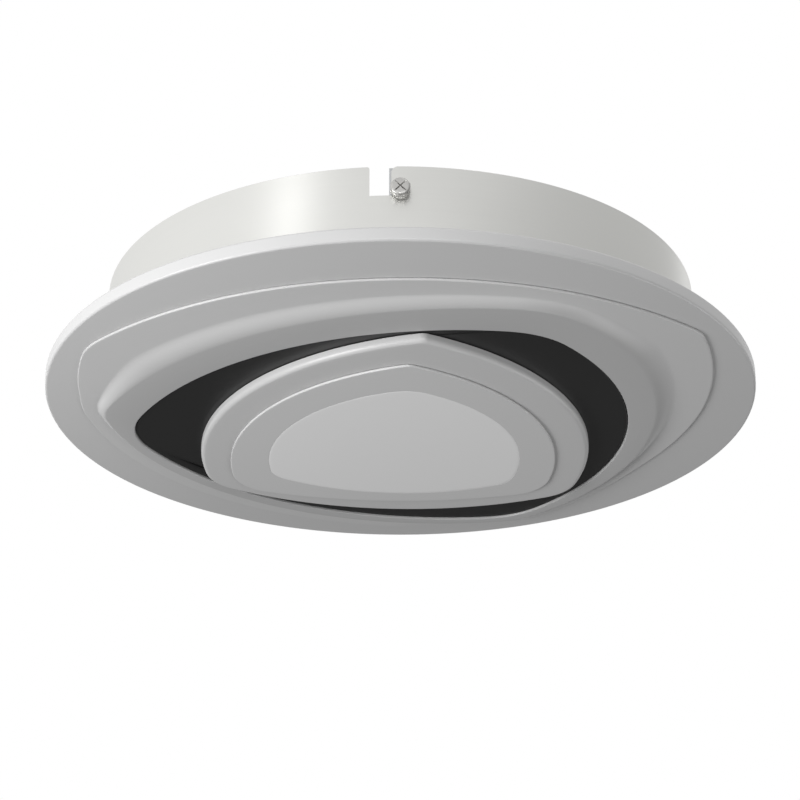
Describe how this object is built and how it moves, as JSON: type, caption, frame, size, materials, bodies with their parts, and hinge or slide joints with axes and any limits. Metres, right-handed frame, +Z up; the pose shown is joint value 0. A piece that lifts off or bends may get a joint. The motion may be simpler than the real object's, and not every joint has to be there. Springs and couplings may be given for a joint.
{
  "type": "ceiling lamp",
  "caption": "Round flush ceiling lamp: satin metal canopy on a bayonet ceiling bar, opal acrylic cover with stepped rounded-triangle layers and a black inlay.",
  "frame": {"origin": "centre of the mounting bar's ceiling face", "axes": "+Z up into the ceiling, -Y towards the side with the visible notch and clamp screw, +X to the right of a viewer who faces that side"},
  "size_m": [0.4, 0.4, 0.074],
  "materials": {
    "satin_metal": "fine satin, slightly warm",
    "zinc_steel": "zinc-plated sheet",
    "nickel_screw": "nickel-plated",
    "white_sheet": "white reflector paint",
    "opal_acrylic": "satin opal acrylic",
    "opal_lens": "satin opal acrylic, lighter",
    "black_acrylic": "satin black acrylic",
    "foam": "closed-cell foam strip",
    "board_white": "white solder mask on aluminium",
    "board_green": "glass-epoxy board",
    "case_white": "moulded, fine grain",
    "terminal_white": "moulded",
    "button_orange": "moulded",
    "spring_steel": "bright spring strip",
    "ferrite": "dull ferrite",
    "capacitor_sleeve": "shrink sleeve",
    "film_yellow": "resin-dipped",
    "rubber_grey": "moulded rubber",
    "lead_brown": "insulated lead",
    "lead_blue": "insulated lead",
    "lead_green": "insulated lead",
    "lead_red": "insulated lead",
    "lead_black": "insulated lead"
  },
  "bodies": {
    "ceiling_bracket": {"mounting_bar": "zinc_steel", "weld_nut_front": "zinc_steel", "weld_nut_rear": "zinc_steel"},
    "lamp": {"canopy_shell": "satin_metal", "light_gasket": "foam", "led_pan": "white_sheet", "assembly_screw_1": "zinc_steel", "assembly_screw_2": "zinc_steel", "assembly_screw_3": "zinc_steel", "assembly_screw_4": "zinc_steel", "outer_diffuser": "opal_acrylic", "contour_ring": "opal_acrylic", "black_panel": "black_acrylic", "centre_diffuser": "opal_acrylic", "centre_step_plate": "opal_acrylic", "centre_lens": "opal_lens", "led_ring_board_1": "board_white", "led_ring_board_2": "board_white", "led_ring_board_3": "board_white", "led_ring_board_4": "board_white", "led_centre_board": "board_white", "board_link_1": "lead_black", "board_link_2": "lead_black", "board_link_3": "lead_black", "board_link_centre": "lead_black", "driver_case_base": "case_white", "driver_case_lid": "case_white", "driver_circuit_board": "board_green", "driver_transformer": "ferrite", "driver_input_capacitor": "capacitor_sleeve", "driver_output_capacitor": "capacitor_sleeve", "driver_film_capacitor": "film_yellow", "driver_inductor": "film_yellow", "driver_screw_front": "zinc_steel", "driver_screw_rear": "zinc_steel", "terminal_screw": "zinc_steel", "earth_screw": "zinc_steel", "terminal_housing": "terminal_white", "terminal_spring_live": "spring_steel", "terminal_spring_earth": "spring_steel", "terminal_spring_neutral": "spring_steel", "lead_grommet": "rubber_grey", "earth_lug": "spring_steel", "mains_lead_neutral": "lead_blue", "mains_lead_live": "lead_brown", "earth_lead": "lead_green", "led_lead_negative": "lead_black", "led_lead_positive": "lead_red"},
    "clamp_front": {"clamp_washer_front": "nickel_screw"},
    "clamp_front_screw": {"clamp_screw_front": "nickel_screw"},
    "clamp_rear": {"clamp_washer_rear": "nickel_screw"},
    "clamp_rear_screw": {"clamp_screw_rear": "nickel_screw"},
    "button_live": {"terminal_button_live": "button_orange"},
    "button_earth": {"terminal_button_earth": "button_orange"},
    "button_neutral": {"terminal_button_neutral": "button_orange"}
  },
  "joints": [
    {"name": "canopy_twist", "type": "hinge", "parent": "ceiling_bracket", "child": "lamp", "pos_m": [0, 0, 0], "axis": [0, 0, 1], "range_deg": [0, 3.57]},
    {"name": "clamp_front_travel", "type": "slide", "parent": "ceiling_bracket", "child": "clamp_front", "axis": [0, -1, 0], "range_m": [0, 0.0024]},
    {"name": "clamp_front_turn", "type": "hinge", "parent": "clamp_front", "child": "clamp_front_screw", "pos_m": [0, -0.167, -0.0158], "axis": [0, -1, 0], "range_deg": [0, 1235]},
    {"name": "clamp_rear_travel", "type": "slide", "parent": "ceiling_bracket", "child": "clamp_rear", "axis": [0, 1, 0], "range_m": [0, 0.0024]},
    {"name": "clamp_rear_turn", "type": "hinge", "parent": "clamp_rear", "child": "clamp_rear_screw", "pos_m": [0, 0.167, -0.0158], "axis": [0, 1, 0], "range_deg": [0, 1235]},
    {"name": "release_live", "type": "slide", "parent": "lamp", "child": "button_live", "axis": [0, 0, -1], "range_m": [0, 0.0015], "stiffness_N_per_m": 600, "springref_m": -0.001},
    {"name": "release_earth", "type": "slide", "parent": "lamp", "child": "button_earth", "axis": [0, 0, -1], "range_m": [0, 0.0015], "stiffness_N_per_m": 600, "springref_m": -0.001},
    {"name": "release_neutral", "type": "slide", "parent": "lamp", "child": "button_neutral", "axis": [0, 0, -1], "range_m": [0, 0.0015], "stiffness_N_per_m": 600, "springref_m": -0.001}
  ],
  "couplings": [
    {"joint": "clamp_front_turn", "follows": "clamp_front_travel", "rad_per_m": 8976},
    {"joint": "clamp_rear_turn", "follows": "clamp_rear_travel", "rad_per_m": 8976}
  ]
}
